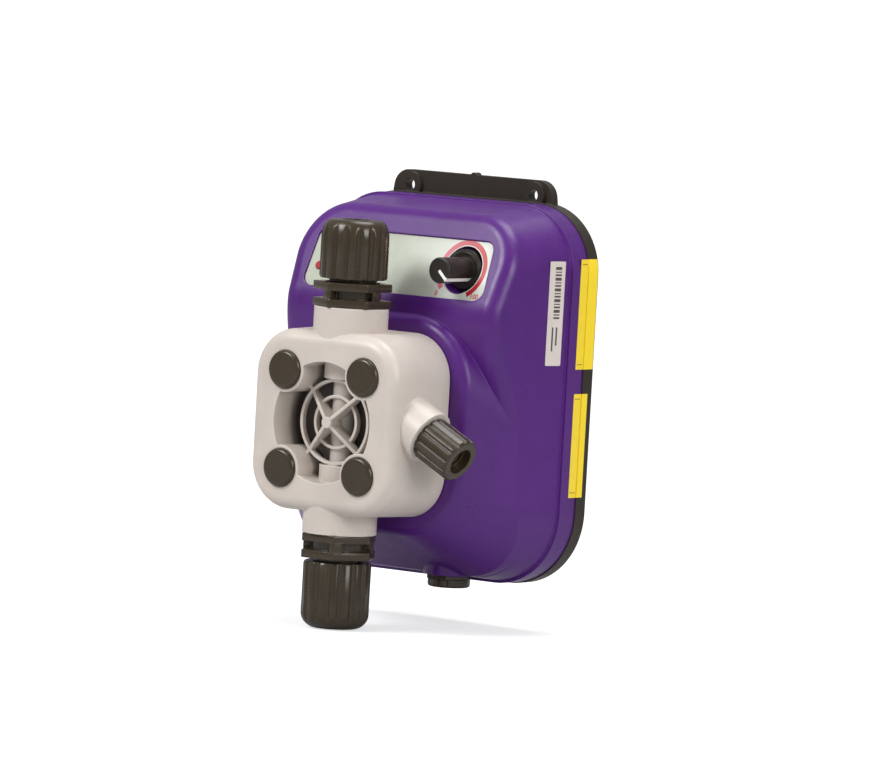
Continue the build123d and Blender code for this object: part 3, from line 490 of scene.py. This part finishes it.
lamp_red, tree, shader, place = start_finish("lamp_red", coat=0.5)
shader.inputs["Transmission Weight"].default_value = 0.35
shader.inputs["IOR"].default_value = 1.5
depth_cloud = noise(tree, place, 700)
colour_with(tree, shader, tones(tree, depth_cloud, paint(150, 12, 16), paint(232, 54, 48)))
roughen(tree, shader, depth_cloud, 0.0, 1.0, 0.12, 0.24)
dress(lamp_red, "status_lamp")

# ---- Circuit board and what it carries ----------------------------------------------
# Lacquered glass-fibre board on four posts behind the panel, with the potentiometer, the
# smoothing capacitors and the terminal block for the mains lead.
board_green, tree, shader, place = start_finish("board_green", coat=0.4)
track_pattern = {
    "Vector": place, "Scale": 160, "Mortar Size": 0.05,
    "Color1": paint(12, 84, 44), "Color2": paint(16, 96, 50), "Mortar": paint(52, 132, 70),
}
tracks = put(tree, "ShaderNodeTexBrick", track_pattern, offset=0.37)
colour_with(tree, shader, tracks.outputs["Color"])
roughen(tree, shader, noise(tree, place, 240), 0.0, 1.0, 0.25, 0.45)
emboss(tree, shader, tracks.outputs["Fac"], 0.00003)
dress(board_green, "circuit_board")
dress(zinc_steel, "board_screws")
pot_blue = moulding("pot_blue", paint(42, 82, 150), 0.32, 0.0005, 0.00001)
dress(pot_blue, "potentiometer")
capacitor_sleeve = moulding(
    "capacitor_sleeve", paint(34, 36, 44), 0.26, 0.002, 0.00001, uneven=0.2
)
dress(capacitor_sleeve, "board_capacitors")
terminal_green = moulding("terminal_green", paint(40, 138, 74), 0.36, 0.0005, 0.00001)
dress(terminal_green, "terminal_block")

# ---- Adjusting knob -----------------------------------------------------------------
# Black push-on knob, sunk in its round well on the potentiometer's flatted shaft. A white
# line is filled into the channel down its side and across the front face to the centre.
black_plastic = moulding(
    "black_plastic", paint(54, 44, 28), 0.27, 0.0005, 0.000018,
    edge=0.0005, uneven=0.16, dust=0.02,
)
knob_black = moulding("knob_black", paint(32, 26, 20), 0.36, 0.0006, 0.000010, uneven=0.12)
stainless = metal("stainless", paint(190, 189, 186), 0.26, (1, 1, 0.15))
dress(knob_black, "adjust_knob")
dress(stainless, "pot_shaft")
index_white = film("index_white", paint(252, 250, 244), 0.35, coat=0.0)
knob_front, skirt_front, grip_radius = 0.0710, 0.0534, 0.0057
index_angle = radians(-45)
line_width, line_thick, line_sunk = 0.0021, 0.00042, 0.00048
# the strips are drawn with x to the front, y across and z away from the knob's axis
side_strip = moved(
    plate(knob_front - skirt_front - 0.0008, line_width, 0, line_thick),
    (knob_front + skirt_front) / 2 - 0.0002, 0, grip_radius - line_sunk,
)
front_strip = plate(grip_radius - 0.0002, line_width, 0, line_thick)
to_front = Matrix.Translation((knob_front - line_sunk, 0, grip_radius / 2 - 0.0001))
bmesh.ops.transform(
    front_strip, matrix=to_front @ Matrix.Rotation(pi / 2, 4, "Y"), verts=front_strip.verts
)
to_index = Matrix((
    (0, -sin(index_angle), cos(index_angle), knob_x),
    (-1, 0, 0, 0),
    (0, cos(index_angle), sin(index_angle), panel_height),
    (0, 0, 0, 1),
))
index_line = gather([side_strip, front_strip])
bmesh.ops.transform(index_line, matrix=to_index, verts=index_line.verts)
bmesh.ops.recalc_face_normals(index_line, faces=index_line.faces)
fit(index_line, "knob_index_line", index_white, "knob")

# ---- Cable gland --------------------------------------------------------------------
# Black nylon compression gland under the housing: body with locknut inside, rubber seal
# and ribbed cap nut.
dress(black_plastic, "gland_body", "gland_locknut", "gland_nut")
dress(seal_rubber, "gland_seal")

# ---- Solenoid -----------------------------------------------------------------------
# Enamelled copper on a nylon bobbin in a black-oxide steel can. The soft-iron plunger
# slides in two brass bushes against a return spring and lands on a rubber bumper.
can_steel = metal("can_steel", paint(52, 52, 56), 0.42, (1, 0.2, 1), coat=0.2)
dress(can_steel, "magnet_can")
copper_wire, tree, shader, place = start_finish("copper_wire", metal=1.0)
winding = {"Vector": place, "Scale": 380, "Distortion": 0.3}
turns = put(tree, "ShaderNodeTexWave", winding, bands_direction="Y").outputs["Fac"]
colour_with(tree, shader, tones(tree, turns, paint(120, 52, 20), paint(206, 112, 58)))
shader.inputs["Roughness"].default_value = 0.28
emboss(tree, shader, turns, 0.0001)
dress(copper_wire, "coil_winding")
bobbin_black = moulding("bobbin_black", paint(48, 46, 46), 0.42, 0.0005, 0.00001)
dress(bobbin_black, "coil_bobbin")
soft_iron = metal("soft_iron", paint(168, 166, 160), 0.30, (1, 0.15, 1))
dress(soft_iron, "pole_piece", "armature")
bush_brass = metal("bush_brass", paint(198, 160, 88), 0.30, (1, 0.15, 1))
dress(bush_brass, "guide_bush_front", "guide_bush_rear")
dress(stainless, "push_rod")
dress(seal_rubber, "armature_bumper")


def giving_copy(name, node, finish):
    """A copy of a CAD piece as a piece of its own on the pump body, with the CAD piece hidden."""
    mesh = bmesh.new()
    mesh.from_mesh(nodes[node].data)
    piece = fit(mesh, name, finish, "pump_body")
    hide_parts(node)
    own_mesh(piece)


# the return spring as a piece of its own; in the pump it shortens against the pole piece as the
# armature comes forward
giving_copy("return_spring_coil", "return_spring", stainless)

# ---- Head adapter, mounting flange and diaphragm ------------------------------------
# The black adapter fills the round opening of the housing and is screwed to the steel
# flange of the solenoid. The white fluoropolymer-faced diaphragm is clamped by the head.
adapter_black = moulding("adapter_black", paint(50, 46, 42), 0.42, 0.0005, 0.00002)
dress(adapter_black, "head_adapter")
dress(zinc_steel, "mounting_flange", "flange_screws")
diaphragm_ptfe = moulding(
    "diaphragm_ptfe", paint(228, 228, 222), 0.38, 0.0009, 0.00001, uneven=0.04
)
# the membrane as a piece of its own; in the pump the plate pushes into its back while its front rim
# stays clamped
giving_copy("diaphragm_membrane", "diaphragm", diaphragm_ptfe)
dress(stainless, "diaphragm_plate")

# ---- Pump head ----------------------------------------------------------------------
# One light-grey fluoropolymer moulding: square block with the round ribbed recess, valve
# spigots above and below and the bleed spigot to the right. Satin and faintly waxy.
head_grey = moulding(
    "head_grey", paint(203, 193, 184), 0.38, 0.0007, 0.00002, edge=0.0007, uneven=0.06
)
recess_radius, recess_light, recess_dark = 0.0272, 0.0940, 0.0875
# painted shade: the bottom of the recess is painted dark towards its floor, where shade falls
# behind the ribs
tree, shader, axes = reopen(head_grey)
across = put(tree, "ShaderNodeCombineXYZ", {"X": axes["X"], "Y": axes["Z"]}).outputs["Vector"]
radius = put(tree, "ShaderNodeVectorMath", {0: across}, operation="LENGTH").outputs["Value"]
inside = work(tree, "LESS_THAN", radius, recess_radius)
sunk = spread(tree, axes["Y"], -recess_light, -recess_dark, 0.0, 0.92)
painted_recess_shade = work(tree, "MULTIPLY", inside, sunk)
unshaded_head_colour = present(shader, "Base Color")
# the dark brown laid over the head's grey is painted shade at the bottom of the recess
colour_with(tree, shader, laid_over(tree, painted_recess_shade, unshaded_head_colour, paint(52, 44, 38)))
dress(head_grey, "pump_head")

# ---- Head bolts and caps ------------------------------------------------------------
# Four stainless socket bolts with washers hold the head to the solenoid flange, under
# domed black caps that clip into their pockets.
dress(stainless, "head_bolts", "head_washers")
dress(black_plastic, "bolt_caps")

# ---- Discharge and suction valves ---------------------------------------------------
# Black valve bodies with a windowed hexagon collar and a threaded neck; inside each a
# ceramic ball on a ring seat with a rubber ring. A fluted nut clamps the hose.
seat_grey = moulding("seat_grey", paint(196, 192, 184), 0.34, 0.0006, 0.00001)
dress(seat_grey, "discharge_seat", "suction_seat")
ball_ceramic = moulding(
    "ball_ceramic", paint(230, 224, 208), 0.12, 0.0015, 0.000004, uneven=0.03
)
dress(ball_ceramic, "discharge_ball", "suction_ball")
ring_rubber = moulding(
    "ring_rubber", paint(44, 50, 42), 0.5, 0.0004, 0.00001, gloss_level=0.4
)
dress(ring_rubber, "discharge_oring", "suction_oring", "bleed_oring")
dress(head_grey, "discharge_nipple", "suction_nipple")
dress(seat_grey, "discharge_ferrule", "suction_ferrule")

valve_y = -0.087
on_valves = Matrix.Translation((0, valve_y, 0))
up, down = Matrix.Identity(4), Matrix.Diagonal((1, 1, -1, 1))
shank, shoulder, neck = 0.0094, 0.0120, 0.01048
hose_bore, chamber, passage = 0.0070, 0.0052, 0.0032
collar_corner, collar_height, window_height = 0.0174, 0.0108, 0.0038
pillar_inner, pillar_sunk = 0.0115, 0.0004
hexagon_edge, pillar_edge = 0.0003, 0.0002


def lathe(profile, steps=128):
    """Closed profile of radius and height pairs, spun into a full turn about Z."""
    turned = bmesh.new()
    points = [turned.verts.new((radius, 0, height)) for radius, height in profile]
    lines = [turned.edges.new(pair) for pair in zip(points, points[1:] + points[:1])]
    bmesh.ops.spin(
        turned, geom=lines + points, cent=(0, 0, 0), axis=(0, 0, 1), angle=2 * pi, steps=steps,
        use_merge=True,
    )
    bmesh.ops.remove_doubles(turned, verts=turned.verts, dist=1e-7)
    bmesh.ops.recalc_face_normals(turned, faces=turned.faces)
    return turned


def prism(outline, low, high, edge):
    """Upright prism over an outline, its edges slightly eased."""
    block = bmesh.new()
    block.faces.new([block.verts.new((x, y, low)) for x, y in outline])
    draw_up(block, high - low)
    bmesh.ops.bevel(
        block, geom=block.edges[:], offset=edge, segments=2, profile=0.5,
        affect="EDGES", material=-1,
    )
    bmesh.ops.recalc_face_normals(block, faces=block.faces)
    return block


def soften(mesh):
    """Smooth shading that breaks at real edges."""
    for face in mesh.faces:
        face.smooth = True
    for edge in mesh.edges:
        edge.smooth = edge.calc_face_angle(0) < radians(32)
    return mesh


def on_valve(mesh, name, body, way):
    """Fit a black piece on the valves' axis; mirrored down, it is turned outwards again."""
    piece = fit(mesh, name, black_plastic, body, on_valves @ way)
    if way is down:
        piece.data.flip_normals()
    return piece


def hexagon_reach(bearing, corner_bearing):
    """Distance from the axis to the collar's flat at one bearing, in degrees."""
    off_flat = (bearing - corner_bearing) % 60 - 30
    return collar_corner * cos(radians(30)) / cos(radians(off_flat))


def pillar_outline(bearings, corner_bearing):
    """Part of the hexagon between two bearings, closed along the pillar's inner radius."""
    rim = [(hexagon_reach(b, corner_bearing), radians(b)) for b in bearings]
    core = [(pillar_inner, radians(b)) for b in reversed(bearings)]
    return [(reach * cos(turn), reach * sin(turn)) for reach, turn in rim + core]


def valve_body(name, profile, collar_start, corner_bearing, window_bearing, way):
    """Turned shank and neck, with two hexagon plates on four pillars between the windows."""
    plate_height = (collar_height - window_height) / 2
    sill, lintel = collar_start + plate_height, collar_start + plate_height + window_height
    corners = [radians(corner_bearing + 60 * n) for n in range(6)]
    hexagon = [(collar_corner * cos(turn), collar_corner * sin(turn)) for turn in corners]
    parts = [lathe(profile), prism(hexagon, collar_start, sill, hexagon_edge)]
    parts.append(prism(hexagon, lintel, collar_start + collar_height, hexagon_edge))
    for quarter in range(4):
        middle = window_bearing + 45 + 90 * quarter
        outline = pillar_outline([middle + off for off in (-10, -5, 0, 5, 10)], corner_bearing)
        parts.append(prism(outline, sill - pillar_sunk, lintel + pillar_sunk, pillar_edge))
    return on_valve(soften(gather(parts)), name, "pump_body", way)


discharge_turned = [
    (shank, 0.0320), (shank, 0.0503), (shoulder, 0.0503), (shoulder, 0.0611),
    (neck, 0.0611), (neck, 0.0762), (hose_bore, 0.0762), (hose_bore, 0.0712),
    (passage, 0.0712), (passage, 0.0404), (chamber, 0.0404), (chamber, 0.0320),
]
suction_turned = [
    (shank, 0.0288), (shank, 0.0488), (shoulder, 0.0488), (shoulder, 0.0596),
    (neck, 0.0596), (neck, 0.0781), (hose_bore, 0.0781), (hose_bore, 0.0388),
    (chamber, 0.0388), (chamber, 0.0304), (passage, 0.0304), (passage, 0.0288),
]
discharge_collar = valve_body("discharge_collar_body", discharge_turned, 0.0503, 30, -52, up)
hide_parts("discharge_valve_body")
suction_collar = valve_body("suction_collar_body", suction_turned, 0.0488, 0, -101, down)
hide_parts("suction_valve_body")

nut_radius, nut_bore, nut_hole = 0.0149, 0.0108, 0.0062
nut_lead, nut_lead_height, nut_face_thick = 0.0006, 0.0010, 0.0056
flute_count, flute_radius, flute_offset, flute_inner = 16, 0.0017, 0.0155, 0.0109


def fluted_nut(name, body, start, end, shoulder_height, face_radius, way):
    """Union nut with sixteen flutes that run out in its round shoulder."""
    profile = [(nut_radius - nut_lead, start), (nut_radius, start + nut_lead_height)]
    for step in range(11):
        turn = pi / 2 * step / 10
        across = face_radius + (nut_radius - face_radius) * cos(turn)
        profile.append((across, end - shoulder_height + shoulder_height * sin(turn)))
    profile += [(nut_hole, end), (nut_hole, end - nut_face_thick)]
    profile += [(nut_bore, end - nut_face_thick), (nut_bore, start)]
    nut = lathe(profile, 256)
    flute_step = 2 * pi / flute_count
    for point in nut.verts:
        # what lies outside a flute's round bottom is brought in to it
        reach = point.co.xy.length
        off = (atan2(point.co.y, point.co.x) + flute_step / 2) % flute_step - flute_step / 2
        side = flute_offset * sin(off)
        if reach > flute_inner and abs(side) < flute_radius:
            bottom = flute_offset * cos(off) - sqrt(flute_radius**2 - side**2)
            if bottom < reach:
                point.co.xy *= bottom / reach
    return on_valve(soften(nut), name, body, way)


discharge_fluted = fluted_nut(
    "discharge_union_nut", "discharge_union", 0.0627, 0.0885, 0.0082, 0.0107, up
)
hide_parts("discharge_nut")
suction_fluted = fluted_nut(
    "suction_union_nut", "suction_union", 0.0612, 0.0904, 0.0065, 0.0084, down
)
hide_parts("suction_nut")

crest_count, crest_root, crest_rise = 2, 0.0002, 0.00018


def thread_crests(name, start, end, way):
    """Crests of the thread that show between collar and nut, spun round the neck."""
    pitch = (end - start) / crest_count
    ridge = [(neck - crest_root, start)]
    for crest in range(crest_count):
        ridge.append((neck + crest_rise, start + (crest + 0.4) * pitch))
        ridge.append((neck + crest_rise, start + (crest + 0.6) * pitch))
        ridge.append((neck - crest_root, start + (crest + 1.0) * pitch))
    on_valve(lathe(ridge, 64), name, "pump_body", way)


thread_crests("discharge_thread", 0.06115, 0.06265, up)
thread_crests("suction_thread", 0.05965, 0.06115, down)

# ---- Bleed fitting ------------------------------------------------------------------
# Small fluted black nut on the slanting spigot, over the spindle and the ferrule that grip
# the priming hose. It screws on along the spigot's thread.
dress(black_plastic, "bleed_spindle", "bleed_nut", "bleed_ferrule")

# ---- Floor, light and camera --------------------------------------------------------
# Pale matt floor without a seam under soft square lamps, and a camera with a long lens.
# The floor stays evenly white out to where the lamps no longer reach.
floor_finish, tree, shader, place = start_finish("floor_pale", gloss_level=0.1)
shader.inputs["Roughness"].default_value = 0.9
shader.inputs["Emission Color"].default_value = (1.0, 1.0, 1.0, 1.0)
seen = put(tree, "ShaderNodeLightPath").outputs["Is Camera Ray"]
away = put(tree, "ShaderNodeVectorMath", {0: place}, operation="LENGTH").outputs["Value"]
lift = work(tree, "MULTIPLY", seen, spread(tree, away, 0.4, 2.0, 0.60, 0.90))
tree.links.new(lift, shader.inputs["Emission Strength"])
floor_grey, floor_light = (0.55, 0.55, 0.56, 1.0), (0.58, 0.58, 0.59, 1.0)
colour_with(tree, shader, tones(tree, noise(tree, place, 3), floor_grey, floor_light))
floor_mesh = bmesh.new()
bmesh.ops.create_grid(floor_mesh, x_segments=1, y_segments=1, size=60)
moved(floor_mesh, 0, 0, cad_low.z - 0.0002)
add_object(floor_mesh, "studio_floor", floor_finish)

world = bpy.data.worlds.new("studio")
world.use_nodes = True
air = world.node_tree
background = air.nodes["Background"]
background.inputs["Color"].default_value = (1.0, 1.0, 1.0, 1.0)
seen = put(air, "ShaderNodeLightPath").outputs["Is Camera Ray"]
air.links.new(spread(air, seen, 0.0, 1.0, 0.36, 1.02), background.inputs["Strength"])
bpy.context.scene.world = world

lamps_aim = Vector((0, -0.05, 0.01))


def soft_lamp(name, where, size, power):
    """Square softbox aimed at the pump."""
    light = bpy.data.lights.new(name, "AREA")
    light.size = size
    light.energy = power
    lamp = bpy.data.objects.new(name, light)
    lamp.location = where
    lamp.rotation_mode = "QUATERNION"
    lamp.rotation_quaternion = (lamps_aim - Vector(where)).to_track_quat("-Z", "Y")
    bpy.context.scene.collection.objects.link(lamp)


soft_lamp("key_softbox", (-0.55, -1.15, 1.05), 0.6, 17)
soft_lamp("side_softbox", (1.5, -0.45, 0.7), 0.7, 11)
soft_lamp("top_softbox", (0.15, 0.25, 1.4), 0.8, 12)

view_turn, view_rise, view_roll = radians(37.95), radians(4.33), radians(3.24)
view_distance = 3.2
view_back = Vector((
    sin(view_turn) * cos(view_rise), -cos(view_turn) * cos(view_rise), sin(view_rise)
))
camera_data = bpy.data.cameras.new("camera")
camera_data.sensor_width = 36
camera_data.lens = 301.8
camera_data.clip_start, camera_data.clip_end = 0.05, 200
camera = bpy.data.objects.new("camera", camera_data)
bpy.context.scene.collection.objects.link(camera)
camera.location = Vector((0, -0.104, 0)) + view_back * view_distance
camera.rotation_mode = "QUATERNION"
look_at = Vector((0.02434, -0.053, 0.01796))
aim = (look_at - camera.location).to_track_quat("-Z", "Y")
camera.rotation_quaternion = aim @ Quaternion((0, 0, 1), view_roll)
bpy.context.scene.camera = camera
bpy.context.scene.view_settings.view_transform = "Standard"
